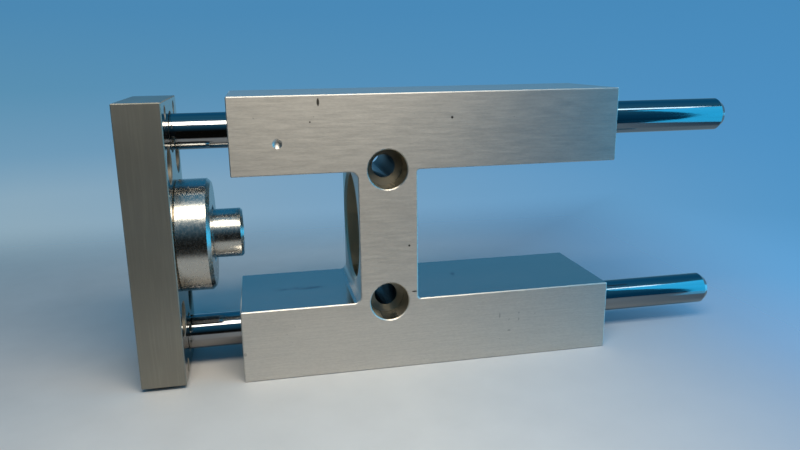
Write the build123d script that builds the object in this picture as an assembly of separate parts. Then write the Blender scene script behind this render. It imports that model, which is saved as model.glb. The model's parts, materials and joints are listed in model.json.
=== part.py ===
from build123d import *
import os
from math import cos, pi, radians, sin

# Guide unit for a round pneumatic cylinder: an H-shaped guide block carries two
# parallel rods in ball bearings, and a yoke plate joins the rods and takes the
# piston rod through a floating coupling.
# The origin is the centre of the neck thread, on the rear face of the block's web.
# +X runs along the rods away from the yoke, +Y across the block, +Z up.
# "Front" is the yoke's side (-X), "rear" is the rods' free ends (+X).

# ---- driving dimensions, in mm ------------------------------------------------
stroke = 40.0
retracted_gap = 1.5
rest_gap = 15.6

block_front = -50.0
block_rear = 59.0
block_depth = 34.0
block_height = 79.0
window_height = 37.5
web_thickness = 16.5
front_corner_radius = 2.0
rear_corner_radius = 0.8
broken_edge = 0.25

rod_radius = 5.0
rod_offset = 29.5
rod_rear_end = 103.4
rod_tip_chamfer_length = 1.5
rod_tip_chamfer_depth = 1.0
rod_thread_depth = 14.0

bearing_radius = 8.5
bearing_length = 26.0
wiper_length = 3.0
wiper_recess = 0.5
rod_passage_radius = 6.0
pocket_chamfer = 0.4

ball_radius = 1.0
ball_play = 0.02
ball_spacing = 2.06
circuits_per_bearing = 4
circuit_straight = 15.0
circuit_half_width = 1.25

neck_thread_radius = 11.0
neck_thread_pitch = 1.5
neck_thread_turns = 6
neck_thread_relief = 0.2
neck_recess_radius = 15.5
neck_recess_depth = 4.5
neck_recess_chamfer = 0.75
neck_rear_chamfer = 0.4

block_hole_offset = 19.0
block_hole_radius = 3.3
block_counterbore_radius = 5.5
block_counterbore_depth = 7.0
hole_chamfer = 0.3

test_dimple_x = -37.5
test_dimple_z = 27.1
test_dimple_radius = 1.3
test_dimple_depth = 0.6

plate_thickness = 12.0
plate_height = 77.0
rod_seat_depth = 4.5
rod_seat_play = 0.02
rod_seat_chamfer = 0.75
rod_screw_counterbore_depth = 4.5
rod_screw_counterbore_radius = 5.4
rod_screw_radius = 3.0
rod_screw_hole_radius = 3.3
rod_screw_head_radius = 5.0
rod_screw_head_length = 4.0
rod_screw_hexagon = 4.0
rod_screw_reach = 10.0
thread_play = 0.02

corner_hole_y = 10.0
corner_hole_z = 35.5
corner_hole_radius = 1.65
attachment_hole_y = 10.0
attachment_hole_z = 21.5
attachment_hole_radius = 2.75
attachment_counterbore_radius = 4.75
attachment_counterbore_depth = 5.5

coupling_radius = 16.0
coupling_length = 9.3
coupling_chamfer = 1.0
coupling_lip = 4.0
coupling_pocket_radius = 10.6
coupling_mouth_radius = 7.9
stub_radius = 7.0
stub_projection = 8.2
stub_head_radius = 9.4
stub_chamfer = 0.6
stub_thread_radius = 5.0
stub_thread_pitch = 1.25
stub_thread_turns = 9
stub_thread_lead_in = 0.8
stub_drill_floor = 1.5
washer_outer_radius = 9.4
washer_thickness = 1.2
washer_gap = 0.05
front_washer_inner_radius = 5.0
rear_washer_play = 0.1

coupling_screw_circle_radius = 13.2
coupling_screw_radius = 1.5
coupling_screw_count = 3
coupling_screw_reach = 5.0
coupling_tapping_depth = 6.0
coupling_screw_head_radius = 2.75
coupling_screw_head_length = 3.0
coupling_screw_hexagon = 2.5
coupling_screw_play = 0.2
coupling_counterbore_radius = 3.1
coupling_counterbore_depth = 3.4

# ---- positions worked out from them --------------------------------------------
web_front = -web_thickness
web_middle = -web_thickness / 2
half_depth = block_depth / 2
block_middle = (block_front + block_rear) / 2
plate_rear = block_front - rest_gap
plate_front = plate_rear - plate_thickness
rod_front_end = plate_rear - rod_seat_depth
coupling_rear = plate_rear + coupling_length
lip_front = coupling_rear - coupling_lip
pocket_floor = plate_rear - washer_thickness - 2 * washer_gap
stub_front = plate_rear
stub_shoulder = lip_front - washer_thickness - 2 * washer_gap
pocket_depth = bearing_length + wiper_length + wiper_recess
rod_sides = {"upper": rod_offset, "lower": -rod_offset}


# ---- shared shapes --------------------------------------------------------------
def turned(outline, y=0.0, z=0.0):
    """Turn a closed outline of (x, radius) points about an axis along X."""
    face = make_face(Polyline(*outline, close=True))
    return Pos(0, y, z) * revolve(face, Axis.X)


def cylinder_x(radius, start, end, y=0.0, z=0.0):
    """A plain cylinder along X."""
    middle = (start + end) / 2
    return Pos(middle, y, z) * Rot(0, 90, 0) * Cylinder(radius, end - start)


def cylinder_y(radius, start, end, x, z):
    """A plain cylinder along Y."""
    middle = (start + end) / 2
    return Pos(x, middle, z) * Rot(90, 0, 0) * Cylinder(radius, end - start)


def internal_thread(major_radius, pitch, turns, end):
    """The (x, radius) points of a row of 60 degree thread grooves whose last crest is at end."""
    minor_radius = major_radius - 0.5413 * pitch
    crest = pitch / 4
    flank = pitch * 5 / 16
    root = pitch / 8
    points = []
    for turn in range(turns):
        x = end - crest - (turns - turn) * pitch
        points.append((x, minor_radius))
        points.append((x + crest, minor_radius))
        points.append((x + crest + flank, major_radius))
        points.append((x + crest + flank + root, major_radius))
    points.append((end - crest, minor_radius))
    points.append((end, minor_radius))
    return points


def socket_screw(tip, head_seat, head_radius, head_length, shank_radius, hexagon, y, z):
    """A cap screw along X with its head towards -X and its tip towards +X."""
    head_front = head_seat - head_length
    edge = 0.3
    body = turned(
        [
            (head_front, 0),
            (head_front, head_radius - edge),
            (head_front + edge, head_radius),
            (head_seat, head_radius),
            (head_seat, shank_radius),
            (tip - edge, shank_radius),
            (tip, shank_radius - edge),
            (tip, 0),
        ],
        y,
        z,
    )
    socket_depth = 0.55 * head_length
    socket = extrude(Plane.YZ * RegularPolygon(hexagon / 2, 6, major_radius=False), socket_depth)
    return body - Pos(head_front, y, z) * socket


# ---- guide block -----------------------------------------------------------------
def make_guide_block():
    """The H-shaped block: two bars joined by a web, bored for the rods and the cylinder."""
    window = window_height
    front_window = Pos((block_front + web_front) / 2, 0) * Rectangle(web_front - block_front, window)
    rear_window = Pos(block_rear / 2, 0) * Rectangle(block_rear, window)
    outline = Pos(block_middle, 0) * Rectangle(block_rear - block_front, block_height)
    outline = outline - front_window - rear_window
    for web_face, radius in ((web_front, front_corner_radius), (0, rear_corner_radius)):
        web_corners = [v for v in outline.vertices() if abs(v.X - web_face) < 0.1]
        outline = fillet(web_corners, radius)
    outer_corners = [v for v in outline.vertices() if v.X < block_front + 1 or v.X > block_rear - 1]
    outline = chamfer(outer_corners, broken_edge)
    block = extrude(Plane.XZ * outline, half_depth, both=True)
    for side in (Axis.Y, -Axis.Y):
        block = chamfer(block.faces().sort_by(side)[-1].edges(), broken_edge)
    for z in rod_sides.values():
        block -= rod_bore(z)
    block -= neck_bore()
    for z in (block_hole_offset, -block_hole_offset):
        block -= block_screw_hole(z)
    return block - test_dimple()


def rod_bore(z):
    """The passage for one rod, with a bearing pocket at each end of the bar."""
    mouth = bearing_radius + pocket_chamfer
    return turned(
        [
            (block_front, 0),
            (block_front, mouth),
            (block_front + pocket_chamfer, bearing_radius),
            (block_front + pocket_depth, bearing_radius),
            (block_front + pocket_depth, rod_passage_radius),
            (block_rear - pocket_depth, rod_passage_radius),
            (block_rear - pocket_depth, bearing_radius),
            (block_rear - pocket_chamfer, bearing_radius),
            (block_rear, mouth),
            (block_rear, 0),
        ],
        z=z,
    )


def neck_bore():
    """The web's bore: a round recess in front, then the thread for the cylinder's neck."""
    recess_floor = web_front + neck_recess_depth
    thread = internal_thread(
        neck_thread_radius, neck_thread_pitch, neck_thread_turns, -neck_rear_chamfer
    )
    minor_radius = thread[0][1]
    relief_radius = neck_thread_radius + neck_thread_relief
    return turned(
        [
            (web_front, 0),
            (web_front, neck_recess_radius + neck_recess_chamfer),
            (web_front + neck_recess_chamfer, neck_recess_radius),
            (recess_floor, neck_recess_radius),
            (recess_floor, relief_radius),
            (recess_floor + relief_radius - minor_radius, minor_radius),
            *thread,
            (0, minor_radius + neck_rear_chamfer),
            (0, 0),
        ]
    )


def block_screw_hole(z):
    """One of the two counterbored screw holes that run through the web from the side."""
    near = -half_depth
    floor = near + block_counterbore_depth
    hole = cylinder_y(block_hole_radius, near - 1, half_depth + 1, web_middle, z)
    hole += cylinder_y(block_counterbore_radius, near - 1, floor, web_middle, z)
    mouth = Pos(web_middle, near + hole_chamfer / 2, z) * Rot(90, 0, 0)
    mouth *= Cone(block_counterbore_radius, block_counterbore_radius + hole_chamfer, hole_chamfer)
    exit_rim = Pos(web_middle, half_depth - hole_chamfer / 2, z) * Rot(-90, 0, 0)
    exit_rim *= Cone(block_hole_radius, block_hole_radius + hole_chamfer, hole_chamfer)
    return hole + mouth + exit_rim


def test_dimple():
    """The shallow round dimple in the side of the upper bar."""
    ball = (test_dimple_radius**2 + test_dimple_depth**2) / (2 * test_dimple_depth)
    centre_y = -half_depth - ball + test_dimple_depth
    return Pos(test_dimple_x, centre_y, test_dimple_z) * Sphere(ball)


# ---- linear ball bearings and wipers -------------------------------------------------
inner_wall = bearing_radius - 0.85
track_radius = rod_radius + ball_play + 2 * ball_radius + 0.02
cage_inner_radius = rod_radius + 0.3
cage_groove_floor = cage_inner_radius + 0.25
return_row_radius = cage_groove_floor + 0.05 + ball_radius
load_row_radius = rod_radius + ball_play + ball_radius
row_pitch_angle = 24.0


def circuit_angles():
    """The direction of each loaded row of balls round the rod, in degrees."""
    return [45 + 360 / circuits_per_bearing * i for i in range(circuits_per_bearing)]


def along_circuit(shape, middle, z, angle, x=0.0):
    """Place a shape that points along +Z at x from the bearing's middle, turned round the rod."""
    return Pos(middle + x, 0, z) * Rot(-angle, 0, 0) * shape


def make_bearing_shell(middle, z):
    """Hardened outer sleeve with inward lips and a raised track over each loaded row."""
    end = bearing_length / 2
    lip = 0.6
    lip_radius = cage_inner_radius + 0.9
    shell = turned(
        [
            (-end, lip_radius),
            (-end, bearing_radius - 0.3),
            (-end + 0.3, bearing_radius),
            (end - 0.3, bearing_radius),
            (end, bearing_radius - 0.3),
            (end, lip_radius),
            (end - lip, lip_radius),
            (end - lip, inner_wall),
            (-end + lip, inner_wall),
            (-end + lip, lip_radius),
        ]
    )
    shell = Pos(middle, 0, z) * shell
    track_ring = turned(
        [
            (-circuit_straight / 2, track_radius),
            (-circuit_straight / 2, inner_wall + 0.1),
            (circuit_straight / 2, inner_wall + 0.1),
            (circuit_straight / 2, track_radius),
        ]
    )
    for angle in circuit_angles():
        sector = Pos(0, 0, bearing_radius / 2) * Box(circuit_straight, 2 * ball_radius, bearing_radius)
        shell += Pos(middle, 0, z) * (track_ring & (Rot(-angle, 0, 0) * sector))
    return shell


def make_bearing_cage(middle, z):
    """Moulded ball cage: a sleeve with a through slot and a return groove for each circuit."""
    end = bearing_length / 2 - 0.7
    collar = circuit_straight / 2 + circuit_half_width + ball_radius + 0.5
    cage = turned(
        [
            (-end, cage_inner_radius),
            (-end, inner_wall - 0.05),
            (-collar, inner_wall - 0.05),
            (-collar, track_radius - 0.1),
            (collar, track_radius - 0.1),
            (collar, inner_wall - 0.05),
            (end, inner_wall - 0.05),
            (end, cage_inner_radius),
        ]
    )
    cage = Pos(middle, 0, z) * cage
    slot_width = 2 * ball_radius + 0.1
    deep = bearing_radius - cage_groove_floor
    groove = Pos(0, 0, cage_groove_floor + deep / 2) * Box(circuit_straight, slot_width, deep)
    slot = Pos(0, 0, bearing_radius / 2) * Box(circuit_straight, slot_width, bearing_radius)
    turn = Pos(0, 0, cage_groove_floor + deep / 2) * Cylinder(
        circuit_half_width + ball_radius + 0.05, deep
    )
    for angle in circuit_angles():
        cage -= along_circuit(slot, middle, z, angle)
        cage -= along_circuit(groove, middle, z, angle + row_pitch_angle)
        for x in (-circuit_straight / 2, circuit_straight / 2):
            cage -= along_circuit(turn, middle, z, angle + row_pitch_angle / 2, x)
    return cage


def make_bearing_balls(middle, z):
    """The balls of every circuit: a loaded row, a return row and one ball in each turn."""
    row_half = circuit_straight / 2 - 0.4
    per_row = int(2 * row_half / ball_spacing) + 1
    first = -(per_row - 1) * ball_spacing / 2
    loaded = Pos(0, 0, load_row_radius) * Sphere(ball_radius)
    returning = Pos(0, 0, return_row_radius) * Sphere(ball_radius)
    turn_x = circuit_straight / 2 + circuit_half_width
    balls = []
    for angle in circuit_angles():
        for index in range(per_row):
            x = first + index * ball_spacing
            balls.append(along_circuit(loaded, middle, z, angle, x))
            balls.append(along_circuit(returning, middle, z, angle + row_pitch_angle, x))
        for x in (-turn_x, turn_x):
            balls.append(along_circuit(returning, middle, z, angle + row_pitch_angle / 2, x))
    return Compound(children=balls)


def make_wiper(outer_x, inward, z):
    """Rubber wiper ring; its lip faces out of the block and runs on the rod."""
    lip_radius = rod_radius + 0.05
    lip_thickness = 0.25
    body_radius = rod_radius + 0.9
    mouth_radius = body_radius + 0.5
    depth = wiper_length * inward
    outline = [
        (outer_x, bearing_radius),
        (outer_x, mouth_radius),
        (outer_x + 0.15 * depth, lip_radius + lip_thickness),
        (outer_x + 0.15 * depth, lip_radius),
        (outer_x + 0.3 * depth, lip_radius),
        (outer_x + 0.6 * depth, body_radius),
        (outer_x + depth, body_radius),
        (outer_x + depth, bearing_radius),
    ]
    return turned(outline, z=z)


# ---- yoke: plate, rods and their screws --------------------------------------------------
def make_yoke_plate():
    """The plate that joins the two rods, with its seats, pockets and attachment holes."""
    plate = Pos((plate_front + plate_rear) / 2, 0, 0) * Box(plate_thickness, block_depth, plate_height)
    plate = chamfer(plate.edges(), broken_edge)
    for z in rod_sides.values():
        plate -= rod_seat(z)
    for y in (corner_hole_y, -corner_hole_y):
        for z in (corner_hole_z, -corner_hole_z):
            plate -= corner_hole(y, z)
    for y in (attachment_hole_y, -attachment_hole_y):
        for z in (attachment_hole_z, -attachment_hole_z):
            plate -= attachment_hole(y, z)
    plate -= cylinder_x(coupling_pocket_radius, pocket_floor, plate_rear + 1)
    for y, z in coupling_screw_places():
        plate -= coupling_screw_hole(y, z)
    return plate


def rod_seat(z):
    """Blind seat for a rod end, with a counterbored screw hole in from the front."""
    seat_radius = rod_radius + rod_seat_play
    counterbore_floor = plate_front + rod_screw_counterbore_depth
    return turned(
        [
            (plate_front, 0),
            (plate_front, rod_screw_counterbore_radius + hole_chamfer),
            (plate_front + hole_chamfer, rod_screw_counterbore_radius),
            (counterbore_floor, rod_screw_counterbore_radius),
            (counterbore_floor, rod_screw_hole_radius),
            (rod_front_end, rod_screw_hole_radius),
            (rod_front_end, seat_radius),
            (plate_rear - rod_seat_chamfer, seat_radius),
            (plate_rear, seat_radius + rod_seat_chamfer),
            (plate_rear, 0),
        ],
        z=z,
    )


def corner_hole(y, z):
    """Tapping-size corner hole, right through, with both mouths countersunk."""
    mouth = corner_hole_radius + hole_chamfer
    return turned(
        [
            (plate_front, 0),
            (plate_front, mouth),
            (plate_front + hole_chamfer, corner_hole_radius),
            (plate_rear - hole_chamfer, corner_hole_radius),
            (plate_rear, mouth),
            (plate_rear, 0),
        ],
        y,
        z,
    )


def attachment_hole(y, z):
    """Screw hole for what the yoke carries; the screw head sinks in from the rear."""
    floor = plate_rear - attachment_counterbore_depth
    return turned(
        [
            (plate_front, 0),
            (plate_front, attachment_hole_radius + hole_chamfer),
            (plate_front + hole_chamfer, attachment_hole_radius),
            (floor, attachment_hole_radius),
            (floor, attachment_counterbore_radius),
            (plate_rear - hole_chamfer, attachment_counterbore_radius),
            (plate_rear, attachment_counterbore_radius + hole_chamfer),
            (plate_rear, 0),
        ],
        y,
        z,
    )


def make_guide_rod(z):
    """Hardened, ground guide rod: tapped at the yoke end, tapered at the free end."""
    end_chamfer = 0.5
    rod = turned(
        [
            (rod_front_end, 0),
            (rod_front_end, rod_radius - end_chamfer),
            (rod_front_end + end_chamfer, rod_radius),
            (rod_rear_end - rod_tip_chamfer_length, rod_radius),
            (rod_rear_end, rod_radius - rod_tip_chamfer_depth),
            (rod_rear_end, 0),
        ],
        z=z,
    )
    tapping_end = rod_front_end + rod_thread_depth
    return rod - cylinder_x(rod_screw_radius, rod_front_end - 1, tapping_end, z=z)


def make_rod_screws():
    """The two low-head cap screws that clamp the rods to the yoke plate."""
    screws = [
        socket_screw(
            tip=rod_front_end + rod_screw_reach,
            head_seat=plate_front + rod_screw_counterbore_depth,
            head_radius=rod_screw_head_radius,
            head_length=rod_screw_head_length,
            shank_radius=rod_screw_radius - thread_play,
            hexagon=rod_screw_hexagon,
            y=0,
            z=z,
        )
        for z in rod_sides.values()
    ]
    return Compound(children=screws)


# ---- floating coupling -----------------------------------------------------------------
def coupling_screw_places():
    """The (y, z) places of the screws that hold the coupling housing."""
    step = 2 * pi / coupling_screw_count
    radius = coupling_screw_circle_radius
    return [(radius * sin(i * step), radius * cos(i * step)) for i in range(coupling_screw_count)]


def coupling_screw_hole(y, z):
    """Counterbored hole through the plate for one coupling screw."""
    seat = plate_front + coupling_counterbore_depth
    hole_radius = coupling_screw_radius + coupling_screw_play
    hole = cylinder_x(hole_radius, plate_front - 1, plate_rear + 1, y, z)
    return hole + cylinder_x(coupling_counterbore_radius, plate_front - 1, seat, y, z)


def make_coupling_housing():
    """The round housing on the plate that traps the coupling's head."""
    edge = 0.3
    housing = turned(
        [
            (plate_rear, coupling_pocket_radius),
            (plate_rear, coupling_radius - edge),
            (plate_rear + edge, coupling_radius),
            (coupling_rear - coupling_chamfer, coupling_radius),
            (coupling_rear, coupling_radius - coupling_chamfer),
            (coupling_rear, coupling_mouth_radius + edge),
            (coupling_rear - edge, coupling_mouth_radius),
            (lip_front, coupling_mouth_radius),
            (lip_front, coupling_pocket_radius),
        ]
    )
    tapping_end = plate_rear + coupling_tapping_depth
    for y, z in coupling_screw_places():
        housing -= cylinder_x(coupling_screw_radius, plate_rear - 1, tapping_end, y, z)
    return housing


def make_coupling_screws():
    """The cap screws that hold the coupling housing to the plate."""
    screws = [
        socket_screw(
            tip=plate_rear + coupling_screw_reach,
            head_seat=plate_front + coupling_counterbore_depth,
            head_radius=coupling_screw_head_radius,
            head_length=coupling_screw_head_length,
            shank_radius=coupling_screw_radius - thread_play,
            hexagon=coupling_screw_hexagon,
            y=y,
            z=z,
        )
        for y, z in coupling_screw_places()
    ]
    return Compound(children=screws)


def make_thrust_washer(front, inner_radius):
    """A hardened thrust washer of the floating coupling."""
    edge = 0.2
    rear = front + washer_thickness
    return turned(
        [
            (front, inner_radius),
            (front, washer_outer_radius - edge),
            (front + edge, washer_outer_radius),
            (rear - edge, washer_outer_radius),
            (rear, washer_outer_radius - edge),
            (rear, inner_radius),
        ]
    )


def make_coupling_stub():
    """The floating stub that takes the piston rod's thread; its head sits in the housing."""
    tip = coupling_rear + stub_projection
    thread_end = tip - stub_thread_lead_in
    thread = internal_thread(stub_thread_radius, stub_thread_pitch, stub_thread_turns, thread_end)
    minor_radius = thread[0][1]
    drill_floor = stub_front + stub_drill_floor
    drill_point = 0.6 * minor_radius
    edge = 0.4
    bore = [
        (drill_floor, 0),
        (drill_floor + drill_point, minor_radius),
        *thread,
        (tip, minor_radius + stub_thread_lead_in),
        (tip, 0),
    ]
    stub = turned(
        [
            (stub_front, 0),
            (stub_front, stub_head_radius - edge),
            (stub_front + edge, stub_head_radius),
            (stub_shoulder, stub_head_radius),
            (stub_shoulder, stub_radius),
            (tip - stub_chamfer, stub_radius),
            (tip, stub_radius - stub_chamfer),
            (tip, 0),
        ]
    )
    return stub - turned(bore)


# ---- assembly --------------------------------------------------------------------------
def assembly():
    """Every node of the guide unit, by name."""
    nodes = {"guide_block": make_guide_block(), "yoke_plate": make_yoke_plate()}
    front_bearing = block_front + wiper_recess + wiper_length + bearing_length / 2
    rear_bearing = block_rear - wiper_recess - wiper_length - bearing_length / 2
    for side, z in rod_sides.items():
        nodes[f"{side}_guide_rod"] = make_guide_rod(z)
        for end, middle in (("front", front_bearing), ("rear", rear_bearing)):
            nodes[f"{side}_{end}_bearing_shell"] = make_bearing_shell(middle, z)
            nodes[f"{side}_{end}_bearing_cage"] = make_bearing_cage(middle, z)
            nodes[f"{side}_{end}_bearing_balls"] = make_bearing_balls(middle, z)
        nodes[f"{side}_front_wiper"] = make_wiper(block_front + wiper_recess, 1, z)
        nodes[f"{side}_rear_wiper"] = make_wiper(block_rear - wiper_recess, -1, z)
    nodes["rod_screws"] = make_rod_screws()
    nodes["coupling_housing"] = make_coupling_housing()
    nodes["coupling_screws"] = make_coupling_screws()
    nodes["front_thrust_washer"] = make_thrust_washer(
        pocket_floor + washer_gap, front_washer_inner_radius
    )
    nodes["rear_thrust_washer"] = make_thrust_washer(
        stub_shoulder + washer_gap, stub_radius + rear_washer_play
    )
    nodes["coupling_stub"] = make_coupling_stub()
    return nodes


os.makedirs("parts", exist_ok=True)
for name, shape in assembly().items():
    export_step(shape, f"parts/{name}.step")
print(f"slide: {retracted_gap - rest_gap:.1f} to {stroke + retracted_gap - rest_gap:.1f} mm")
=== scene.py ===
import json
import math
import bpy
from mathutils import Euler, Matrix, Vector


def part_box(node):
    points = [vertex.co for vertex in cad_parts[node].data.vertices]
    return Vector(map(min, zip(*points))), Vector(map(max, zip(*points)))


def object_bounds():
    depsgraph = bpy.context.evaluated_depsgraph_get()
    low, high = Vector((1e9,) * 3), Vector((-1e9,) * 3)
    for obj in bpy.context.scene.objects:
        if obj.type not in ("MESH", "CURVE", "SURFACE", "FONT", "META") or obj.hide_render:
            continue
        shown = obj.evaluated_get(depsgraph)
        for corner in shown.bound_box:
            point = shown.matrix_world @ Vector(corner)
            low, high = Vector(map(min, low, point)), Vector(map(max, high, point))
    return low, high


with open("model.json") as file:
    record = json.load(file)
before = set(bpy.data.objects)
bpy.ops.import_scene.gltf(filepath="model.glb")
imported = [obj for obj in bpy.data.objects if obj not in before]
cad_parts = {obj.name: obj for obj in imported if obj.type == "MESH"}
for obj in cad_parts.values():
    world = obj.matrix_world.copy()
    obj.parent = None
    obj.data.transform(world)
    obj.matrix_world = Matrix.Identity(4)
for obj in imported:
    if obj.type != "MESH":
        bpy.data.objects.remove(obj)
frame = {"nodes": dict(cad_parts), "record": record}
cad_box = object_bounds()
nodes = frame["nodes"]

MM = 0.001

# What the guide block's finish follows, in mm. Places are measured from its front end and its base.
# The web bore's radius takes in its whole chamfer, and the screw holes' ends halfway across theirs.
WEB_MIDDLE = 41.75
WEB_BORE_RADIUS = 16.4
SCREW_HOLE_HEIGHTS = (20.5, 58.5)
SCREW_HOLE_RADIUS = 5.65

# Ranges of depth behind the block's near side, in mm. Its marks end over the first. The screw holes get
# painted shade over the second, at the seats of the screw heads, and are near-black deeper in.
MARKS_END = (0.9, 1.0)
SCREW_HEAD_SEAT = (6.5, 7.5)

# Marks on the block's near side, in mm: from the front end, up from the base, half length, half height.
DENTS = (
    (23.5, 77.1, 0.4, 1.2),
    (59.8, 72.1, 0.4, 0.4),
    (21.2, 72.0, 0.25, 0.25),
    (48.9, 23.0, 0.9, 0.25),
    (47.5, 36.7, 0.35, 0.35),
)
SCUFFS = (
    (74.8, 13.2, 0.25, 0.9),
    (80.8, 11.6, 0.22, 0.5),
    (80.8, 13.6, 0.22, 0.4),
    (77.8, 8.3, 0.6, 0.3),
    (0.6, 8.4, 0.5, 0.6),
)
# Smudges on the lower bar, in mm: from the front end, across from its middle, half length, half width.
SMUDGES = (
    (17.5, 0.0, 9.0, 1.6),
    (65.8, 2.4, 0.9, 2.6),
)


# ---- node helpers ----------------------------------------------------------------
class Graph:
    """A node tree with short calls for the nodes that the finishes share."""

    def __init__(self, tree):
        self.tree = tree

    def node(self, kind, **settings):
        made = self.tree.nodes.new(kind)
        for key, value in settings.items():
            setattr(made, key, value)
        return made

    def link(self, output, target):
        self.tree.links.new(output, target)

    def put(self, value, target):
        """Set a socket to a number, a vector or another node's output."""
        if isinstance(value, bpy.types.NodeSocket):
            self.link(value, target)
        elif target.type == "RGBA":
            target.default_value = (*value, 1.0)
        else:
            target.default_value = value

    def coordinate(self, name):
        return self.node("ShaderNodeTexCoord").outputs[name]

    def split(self, vector):
        made = self.node("ShaderNodeSeparateXYZ")
        self.link(vector, made.inputs["Vector"])
        return made.outputs["X"], made.outputs["Y"], made.outputs["Z"]

    def stretched(self, vector, scale):
        """The vector scaled along each axis: a small scale draws a grain out along it."""
        made = self.node("ShaderNodeMapping")
        self.link(vector, made.inputs["Vector"])
        made.inputs["Scale"].default_value = scale
        return made.outputs["Vector"]

    def noise(self, vector, scale, detail=4.0, roughness=0.55):
        made = self.node("ShaderNodeTexNoise")
        self.link(vector, made.inputs["Vector"])
        made.inputs["Scale"].default_value = scale
        made.inputs["Detail"].default_value = detail
        made.inputs["Roughness"].default_value = roughness
        return made.outputs["Fac"]

    def spread(self, value, low, high, to_low=0.0, to_high=1.0, smooth=False):
        """Map the range low..high of a value to to_low..to_high, and clamp it there."""
        made = self.node("ShaderNodeMapRange")
        made.interpolation_type = "SMOOTHSTEP" if smooth else "LINEAR"
        for key, number in (
            ("Value", value),
            ("From Min", low),
            ("From Max", high),
            ("To Min", to_low),
            ("To Max", to_high),
        ):
            self.put(number, made.inputs[key])
        return made.outputs["Result"]

    def math(self, operation, a, b=None):
        made = self.node("ShaderNodeMath", operation=operation)
        self.put(a, made.inputs[0])
        if b is not None:
            self.put(b, made.inputs[1])
        return made.outputs["Value"]

    def mix(self, factor, a, b):
        """Mix two colours, each a tuple or an output."""
        made = self.node("ShaderNodeMix", data_type="RGBA")
        self.put(factor, made.inputs[0])
        self.put(a, made.inputs[6])
        self.put(b, made.inputs[7])
        return made.outputs[2]

    def ramp(self, factor, stops):
        """A colour ramp through (place, colour) stops."""
        made = self.node("ShaderNodeValToRGB")
        self.link(factor, made.inputs["Fac"])
        elements = made.color_ramp.elements
        while len(elements) < len(stops):
            elements.new(0.5)
        for element, (place, colour) in zip(elements, stops):
            element.position = place
            element.color = (*colour, 1.0)
        return made.outputs["Color"]

    def bump(self, height, distance):
        made = self.node("ShaderNodeBump")
        made.inputs["Strength"].default_value = 1.0
        made.inputs["Distance"].default_value = distance
        self.link(height, made.inputs["Height"])
        return made.outputs["Normal"]


def srgb(red, green, blue):
    """A colour given in 0..255 screen values, as linear light."""
    linear = []
    for level in (red, green, blue):
        share = level / 255
        linear.append(((share + 0.055) / 1.055) ** 2.4 if level > 10 else share / 12.92)
    return tuple(linear)


def finish(name, **constants):
    """A new material whose Principled shader has these constants set on its sockets."""
    material = bpy.data.materials.new(name)
    material.use_nodes = True
    shader = material.node_tree.nodes["Principled BSDF"]
    for key, value in constants.items():
        shader.inputs[key.replace("_", " ")].default_value = value
    return material, Graph(material.node_tree), shader


def dress(name, material):
    """Give a CAD node a material."""
    slots = nodes[name].data.materials
    slots.clear()
    slots.append(material)


# ---- finishes ----------------------------------------------------------------------
def on_block(from_front, from_base):
    """The (x, z) of a point given in mm from the guide block's front end and up from its base."""
    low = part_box("guide_block")[0]
    return low[0] + from_front * MM, low[2] + from_base * MM


def near(g, position, spot, half_length, half_height, plane=(0, 2), core=0.4):
    """1 in an ellipse round a spot in the x-z plane, or in another; a core near 1 has a sharp edge."""
    axes = g.split(position)
    along = g.math("DIVIDE", g.math("SUBTRACT", axes[plane[0]], spot[0]), half_length * MM)
    up = g.math("DIVIDE", g.math("SUBTRACT", axes[plane[1]], spot[1]), half_height * MM)
    reach = g.math("ADD", g.math("MULTIPLY", along, along), g.math("MULTIPLY", up, up))
    return g.spread(reach, core, 1.0, 1.0, 0.0)


def total(g, masks):
    """The strongest of several masks."""
    result = masks[0]
    for mask in masks[1:]:
        result = g.math("MAXIMUM", result, mask)
    return result


def facing(g, axis):
    """1 on faces that point either way along an axis (0, 1 or 2), and 0 on those well off it."""
    normal = g.split(g.node("ShaderNodeNewGeometry").outputs["True Normal"])
    return g.spread(g.math("ABSOLUTE", normal[axis]), 0.85, 0.95)


def bored(g, position):
    """Two masks: 1 inside the block's two screw holes, and 1 inside its web bore."""
    holes = []
    for height in SCREW_HOLE_HEIGHTS:
        spot = on_block(WEB_MIDDLE, height)
        holes.append(near(g, position, spot, SCREW_HOLE_RADIUS, SCREW_HOLE_RADIUS, core=0.98))
    centre = (0.0, 0.0)
    inside = near(g, position, centre, WEB_BORE_RADIUS, WEB_BORE_RADIUS, (1, 2), core=0.98)
    return total(g, holes), inside


def grained(g, shader, position, scale, fine, depth):
    """A milled or brushed grain: fine lines over broader ones, as a bump."""
    lines = g.noise(g.stretched(position, scale), 1.0, 2.0)
    broad = g.noise(g.stretched(position, tuple(c * 0.3 for c in scale)), 1.0, 2.0)
    height = g.math("ADD", g.math("MULTIPLY", lines, fine), g.math("MULTIPLY", broad, 0.4))
    g.link(g.bump(height, depth * MM), shader.inputs["Normal"])
    return height


def marks(g, position, rows):
    """One mask for a table of marks on the block's near side."""
    masks = [near(g, position, on_block(*row[:2]), *row[2:]) for row in rows]
    return total(g, masks)


def smudges(g, position):
    """One mask for the outlines of the lower bar's smudges, as seen from above."""
    low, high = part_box("guide_block")
    middle = (low[1] + high[1]) / 2
    masks = []
    for from_front, across, half_length, half_width in SMUDGES:
        spot = (low[0] + from_front * MM, middle + across * MM)
        masks.append(near(g, position, spot, half_length, half_width, (0, 1)))
    return total(g, masks)


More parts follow.
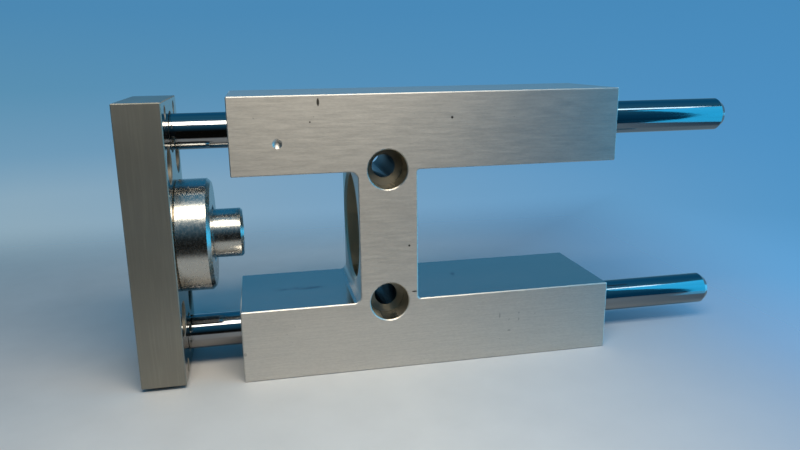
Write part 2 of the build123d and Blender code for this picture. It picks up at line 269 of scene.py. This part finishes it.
def block_tone(g, position, grain):
    """The bare metal's colour: cloudy, darker in the grain's valleys, sandy and lightly specked."""
    cloud = g.noise(g.stretched(position, (20, 60, 60)), 1.0, 3.0)
    tone = g.mix(g.spread(cloud, 0.3, 0.7), (0.77, 0.735, 0.685), (0.79, 0.755, 0.705))
    valley = g.mix(0.16, tone, (0.3, 0.3, 0.3))
    tone = g.mix(g.spread(grain, 0.5, 0.9), valley, tone)
    sand_noise = g.noise(g.stretched(position, (900, 2400, 2400)), 1.0, 3.0)
    sand = g.spread(sand_noise, 0.35, 0.65, 0.0, 0.14)
    tone = g.mix(sand, tone, (0.38, 0.36, 0.33))
    specks = g.spread(g.noise(position, 1100.0, 2.0), 0.74, 0.80, 0.0, 0.4)
    return g.mix(specks, tone, (0.12, 0.12, 0.11))


def block_aluminium():
    """Natural anodised aluminium, milled along X, marked on the near side and smudged on the lower bar,
    with painted shade deep in the screw holes and in the dents.
    """
    near_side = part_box("guide_block")[0][1]
    material, g, shader = finish("block_aluminium", Metallic=1.0, Anisotropic=0.75)
    position = g.coordinate("Object")
    y, z = g.split(position)[1:]
    level = facing(g, 2)
    grain = grained(g, shader, position, (150, 5200, 5200), 1.0, 0.0012)
    tone = block_tone(g, position, grain)

    hole, inside = bored(g, position)
    hollow = g.math("MAXIMUM", hole, inside)
    tone = g.mix(hollow, tone, (0.64, 0.58, 0.47))
    seat_start, seat_end = (near_side + depth * MM for depth in SCREW_HEAD_SEAT)
    hole_shade_depth = g.spread(y, seat_start, seat_end)
    # Painted shade: the screw holes turn near-black past the seats of the screw heads.
    tone = g.mix(g.math("MULTIPLY", hole, hole_shade_depth), tone, (0.11, 0.12, 0.12))

    marks_fade, marks_stop = (near_side + depth * MM for depth in MARKS_END)
    near_face = g.spread(y, marks_fade, marks_stop, 1.0, 0.0)
    dent_shade = g.math("MULTIPLY", marks(g, position, DENTS), near_face)
    scuff = g.math("MULTIPLY", marks(g, position, SCUFFS), near_face)
    tone = g.mix(g.math("MULTIPLY", scuff, 0.35), tone, (0.12, 0.12, 0.12))
    cloudy = g.spread(g.noise(position, 500.0, 3.0), 0.4, 0.6, 0.1, 0.5)
    lower_bar = g.math("MULTIPLY", level, g.math("LESS_THAN", z, 0.0))
    smudged = g.math("MULTIPLY", smudges(g, position), g.math("MULTIPLY", lower_bar, cloudy))
    tone = g.mix(smudged, tone, (0.16, 0.18, 0.24))
    # Painted shade: the dents are darkened almost to black.
    tone = g.mix(g.math("MULTIPLY", dent_shade, 0.95), tone, (0.03, 0.027, 0.022))
    g.link(tone, shader.inputs["Base Color"])

    wear_noise = g.noise(g.stretched(position, (150, 1400, 1400)), 1.0, 2.0)
    worn = g.spread(wear_noise, 0.35, 0.65, -0.02, 0.02)
    smooth = g.math("MAXIMUM", level, g.math("MULTIPLY", hollow, 0.2))
    roughness = g.math("ADD", g.spread(smooth, 0.0, 1.0, 0.46, 0.20), worn)
    g.link(roughness, shader.inputs["Roughness"])
    tangent = g.node("ShaderNodeTangent", direction_type="RADIAL", axis="X")
    g.link(tangent.outputs["Tangent"], shader.inputs["Tangent"])
    return material


def plate_aluminium():
    """Aluminium plate: sawn-and-brushed edges with an upright grain, smooth flat faces."""
    material, g, shader = finish("plate_aluminium", Metallic=1.0, Anisotropic=0.2)
    position = g.coordinate("Object")
    grain = grained(g, shader, position, (2200, 2200, 80), 0.8, 0.002)
    cloud = g.noise(position, 55.0, 3.0)
    tone = g.mix(g.spread(cloud, 0.3, 0.7), (0.46, 0.41, 0.33), (0.50, 0.45, 0.37))
    tone = g.mix(g.spread(grain, 0.55, 0.85), g.mix(0.2, tone, (0.2, 0.19, 0.17)), tone)
    g.link(tone, shader.inputs["Base Color"])
    smooth = g.math("MAXIMUM", facing(g, 0), g.math("MULTIPLY", facing(g, 2), 0.7))
    g.link(g.spread(smooth, 0.0, 1.0, 0.60, 0.17), shader.inputs["Roughness"])
    tangent = g.node("ShaderNodeTangent", direction_type="RADIAL", axis="Z")
    g.link(tangent.outputs["Tangent"], shader.inputs["Tangent"])
    return material


def rod_steel():
    """Hardened, ground and polished steel, with faint lengthwise rubbing from the bearings."""
    material, g, shader = finish("rod_steel", Metallic=1.0)
    position = g.coordinate("Object")
    rubbed = g.noise(g.stretched(position, (12, 1500, 1500)), 1.0, 3.0)
    g.link(g.spread(rubbed, 0.35, 0.7, 0.04, 0.14), shader.inputs["Roughness"])
    tone = g.mix(g.spread(rubbed, 0.3, 0.7), (0.28, 0.285, 0.295), (0.34, 0.345, 0.355))
    g.link(tone, shader.inputs["Base Color"])
    g.link(g.bump(rubbed, 0.006 * MM), shader.inputs["Normal"])
    return material


def plated_steel():
    """Turned steel under bright zinc plating, mottled where it has been handled."""
    material, g, shader = finish("plated_steel", Metallic=1.0)
    position = g.coordinate("Object")
    mottle = g.noise(position, 1500.0, 3.0, 0.6)
    turned = g.noise(g.stretched(position, (2500, 60, 60)), 1.0, 2.0)
    height = g.math("ADD", mottle, g.math("MULTIPLY", turned, 0.5))
    g.link(g.bump(height, 0.005 * MM), shader.inputs["Normal"])
    g.link(g.spread(mottle, 0.3, 0.7, 0.20, 0.30), shader.inputs["Roughness"])
    tone = g.mix(g.spread(mottle, 0.35, 0.65), (0.56, 0.54, 0.50), (0.60, 0.58, 0.54))
    g.link(tone, shader.inputs["Base Color"])
    return material


def bearing_steel():
    """Ground steel of the bearing shells and thrust washers."""
    material, g, shader = finish("bearing_steel", Metallic=1.0)
    position = g.coordinate("Object")
    ground = g.noise(g.stretched(position, (2500, 120, 120)), 1.0, 2.0)
    g.link(g.spread(ground, 0.3, 0.7, 0.18, 0.30), shader.inputs["Roughness"])
    g.link(g.mix(ground, (0.38, 0.38, 0.39), (0.50, 0.50, 0.51)), shader.inputs["Base Color"])
    g.link(g.bump(ground, 0.002 * MM), shader.inputs["Normal"])
    return material


def ball_steel():
    """Polished bearing balls with a trace of grease."""
    material, g, shader = finish("ball_steel", Metallic=1.0)
    grease = g.noise(g.coordinate("Object"), 500.0)
    g.link(g.spread(grease, 0.45, 0.65, 0.04, 0.16), shader.inputs["Roughness"])
    g.link(g.mix(grease, (0.60, 0.60, 0.61), (0.70, 0.69, 0.66)), shader.inputs["Base Color"])
    return material


def moulded(name, dark, light, low, high, grit):
    """A moulded rubber or plastic with a fine grit, and a roughness from low to high."""
    material, g, shader = finish(name)
    speck = g.noise(g.coordinate("Object"), grit, 3.0)
    g.link(g.spread(speck, 0.3, 0.7, low, high), shader.inputs["Roughness"])
    g.link(g.mix(speck, dark, light), shader.inputs["Base Color"])
    g.link(g.bump(speck, 0.01 * MM), shader.inputs["Normal"])
    return material


def screw_steel():
    """Black oxide screws, worn bright in places."""
    material, g, shader = finish("screw_steel", Metallic=1.0)
    wear = g.noise(g.coordinate("Object"), 700.0, 3.0)
    tone = g.mix(g.spread(wear, 0.6, 0.75), (0.05, 0.05, 0.055), (0.2, 0.2, 0.2))
    g.link(tone, shader.inputs["Base Color"])
    g.link(g.spread(wear, 0.3, 0.7, 0.32, 0.48), shader.inputs["Roughness"])
    g.link(g.bump(wear, 0.004 * MM), shader.inputs["Normal"])
    return material


FINISHES = {
    "block_aluminium": block_aluminium(),
    "plate_aluminium": plate_aluminium(),
    "rod_steel": rod_steel(),
    "plated_steel": plated_steel(),
    "bearing_steel": bearing_steel(),
    "ball_steel": ball_steel(),
    "cage_plastic": moulded(
        "cage_plastic", (0.012, 0.012, 0.013), (0.03, 0.03, 0.032), low=0.40, high=0.55, grit=2500.0
    ),
    "wiper_rubber": moulded(
        "wiper_rubber", (0.010, 0.010, 0.010), (0.022, 0.022, 0.022), low=0.55, high=0.75, grit=3500.0
    ),
    "screw_steel": screw_steel(),
}
for part in frame["record"]["subparts"]:
    dress(part["node"], FINISHES[part["material_slot"]])


# ---- stage, light and camera --------------------------------------------------------
# Lamps: name, centre in mm, the way it faces, size in mm, radiance and colour.
LAMPS = (
    ("main_lamp", (-8, -152, 230), (0, 0, -1), (215, 119), 9.3, (1.0, 0.91, 0.76)),
    ("side_lamp", (190, -122, 230), (0, 0, -1), (130, 40), 4.0, (0.62, 0.86, 1.0)),
    ("blue_panel", (247, -52, 35), (-0.87, 0.49, 0), (224, 290), 1.8, (0.03, 0.55, 1.0)),
)

PAPER_DARK = srgb(207, 203, 200)
PAPER_LIGHT = srgb(213, 209, 206)
# The paper's colour under the painted blue light at the right.
PAPER_PAINTED_BLUE_LIGHT = srgb(160, 171, 188)

# Distances from the floor's middle, in metres: to its sides, and to where its painted blue light and each
# fade begin and end. The last fade and the dimming, a painted shade given as a share of 1, are left out of
# what the camera sees directly.
FLOOR_HALF = 1.2
PAINTED_BLUE_LIGHT_SPAN = (-0.02, 0.10)
FADE_ROUND = (0.13, 0.34)
FADE_RIGHT = (0.03, 0.18)
FADE_BACK = (0.07, 0.21)
UNSEEN_FRONT = (-0.066, -0.085)
UNSEEN_DIMMING = 0.22

# The camera's place in mm and its tilt, heading and roll in degrees.
CAMERA_PLACE = (-42.44, -199.25, 49.52)
CAMERA_TILT = 76.05
CAMERA_HEADING = -11.58
CAMERA_ROLL = -0.74


def make_floor():
    """A pale paper floor round the object, which fades into the backdrop further out."""
    low, high = cad_box
    middle = [(a + b) / 2 for a, b in zip(low, high)]
    mesh = bpy.data.meshes.new("floor")
    half = FLOOR_HALF
    corners = [(-half, -half, 0), (half, -half, 0), (half, half, 0), (-half, half, 0)]
    mesh.from_pydata(corners, [], [(0, 1, 2, 3)])
    floor = bpy.data.objects.new("floor", mesh)
    floor.location = (middle[0], middle[1], low[2])
    bpy.context.scene.collection.objects.link(floor)
    mesh.materials.append(floor_paper())


def floor_paper():
    """Warm paper with painted blue light to the right. Reflected light meets it dimmer, a painted shade,
    and cut off nearer in front.
    """
    material, g, shader = finish("floor_paper", Roughness=0.6)
    position = g.coordinate("Object")
    x, y = g.split(position)[:2]
    seen = g.node("ShaderNodeLightPath").outputs["Is Camera Ray"]
    fibre = g.noise(position, 60.0)
    paper = g.mix(g.spread(fibre, 0.3, 0.7), PAPER_DARK, PAPER_LIGHT)
    # Painted blue light, seen by the camera only: the paper turns bluer towards the right.
    with_painted_blue_light = g.mix(g.spread(x, *PAINTED_BLUE_LIGHT_SPAN), paper, PAPER_PAINTED_BLUE_LIGHT)
    # Painted shade: rays other than the camera's own meet the paper darker.
    dimmed = g.mix(UNSEEN_DIMMING, paper, (0.0, 0.0, 0.0))
    g.link(g.mix(seen, dimmed, with_painted_blue_light), shader.inputs["Base Color"])

    reach = g.node("ShaderNodeVectorMath", operation="LENGTH")
    g.link(position, reach.inputs[0])
    edges = [
        g.spread(reach.outputs["Value"], *FADE_ROUND, smooth=True),
        g.spread(x, *FADE_RIGHT, smooth=True),
        g.spread(y, *FADE_BACK, smooth=True),
        g.math("SUBTRACT", g.spread(y, *UNSEEN_FRONT), seen),
    ]
    clear = g.node("ShaderNodeBsdfTransparent")
    fade = g.node("ShaderNodeMixShader")
    g.link(total(g, edges), fade.inputs[0])
    g.link(shader.outputs[0], fade.inputs[1])
    g.link(clear.outputs[0], fade.inputs[2])
    g.link(fade.outputs[0], material.node_tree.nodes["Material Output"].inputs["Surface"])
    return material


def make_lamp(name, centre, normal, size, radiance, colour):
    """A flat rectangular lamp that faces along its normal; centre and size are in mm."""
    data = bpy.data.lights.new(name, "AREA")
    data.shape = "RECTANGLE"
    data.size, data.size_y = (side * MM for side in size)
    data.energy = radiance * math.pi * data.size * data.size_y
    data.color = colour
    lamp = bpy.data.objects.new(name, data)
    lamp.location = Vector(centre) * MM
    lamp.rotation_euler = Vector(normal).to_track_quat("-Z", "Y").to_euler()
    lamp.visible_camera = False
    bpy.context.scene.collection.objects.link(lamp)


def make_world():
    """A room that is blue behind and overhead, and in front dark at the left and deep blue at the right.

    The camera itself sees the backdrop's own colours instead, from seen_left to seen_right.
    """
    world = bpy.data.worlds.new("studio")
    bpy.context.scene.world = world
    world.use_nodes = True
    g = Graph(world.node_tree)
    background = world.node_tree.nodes["Background"]
    x, y, z = g.split(g.coordinate("Generated"))
    height = g.spread(z, -1.0, 1.0)
    overhead = srgb(50, 125, 162)
    behind = g.ramp(
        height,
        [
            (0.34, srgb(120, 142, 155)),
            (0.40, srgb(107, 152, 180)),
            (0.50, srgb(105, 160, 195)),
            (0.57, srgb(98, 150, 185)),
            (0.63, srgb(62, 112, 145)),
            (0.76, srgb(35, 112, 155)),
            (0.88, srgb(20, 105, 155)),
            (1.00, overhead),
        ],
    )
    front_left = g.ramp(height, [(0.30, srgb(16, 16, 14)), (0.55, srgb(16, 15, 11)), (0.95, overhead)])
    front_right = g.ramp(height, [(0.30, srgb(5, 60, 92)), (0.60, srgb(12, 80, 120)), (0.95, overhead)])
    front = g.mix(g.spread(x, 0.15, 0.5, smooth=True), front_left, front_right)
    around = g.mix(g.spread(y, -0.25, 0.15, smooth=True), front, behind)
    seen_left = g.ramp(
        height,
        [
            (0.30, srgb(150, 162, 172)),
            (0.36, srgb(136, 160, 174)),
            (0.39, srgb(143, 170, 186)),
            (0.415, srgb(137, 168, 188)),
            (0.44, srgb(112, 155, 184)),
            (0.48, srgb(90, 144, 178)),
            (0.53, srgb(76, 136, 178)),
        ],
    )
    seen_right = g.ramp(
        height,
        [
            (0.28, srgb(140, 172, 208)),
            (0.32, srgb(124, 176, 224)),
            (0.36, srgb(100, 164, 215)),
            (0.40, srgb(86, 151, 200)),
            (0.45, srgb(78, 145, 196)),
            (0.53, srgb(71, 138, 188)),
        ],
    )
    seen = g.mix(g.spread(x, -0.30, 0.66), seen_left, seen_right)
    light_path = g.node("ShaderNodeLightPath")
    g.link(g.mix(light_path.outputs["Is Camera Ray"], around, seen), background.inputs["Color"])


def make_camera():
    """The photograph's viewing angle, found from the edges of the block, plate and rods."""
    data = bpy.data.cameras.new("camera")
    data.lens = 31.0
    data.sensor_width = 36.0
    data.clip_start = 0.01
    data.clip_end = 20
    camera = bpy.data.objects.new("camera", data)
    camera.matrix_world = (
        Matrix.Translation(Vector(CAMERA_PLACE) * MM)
        @ Euler((math.radians(CAMERA_TILT), 0, math.radians(CAMERA_HEADING))).to_matrix().to_4x4()
        @ Matrix.Rotation(math.radians(CAMERA_ROLL), 4, "Z")
    )
    bpy.context.scene.collection.objects.link(camera)
    bpy.context.scene.camera = camera


make_floor()
make_world()
make_camera()
for lamp_settings in LAMPS:
    make_lamp(*lamp_settings)
bpy.context.scene.view_settings.view_transform = "Standard"
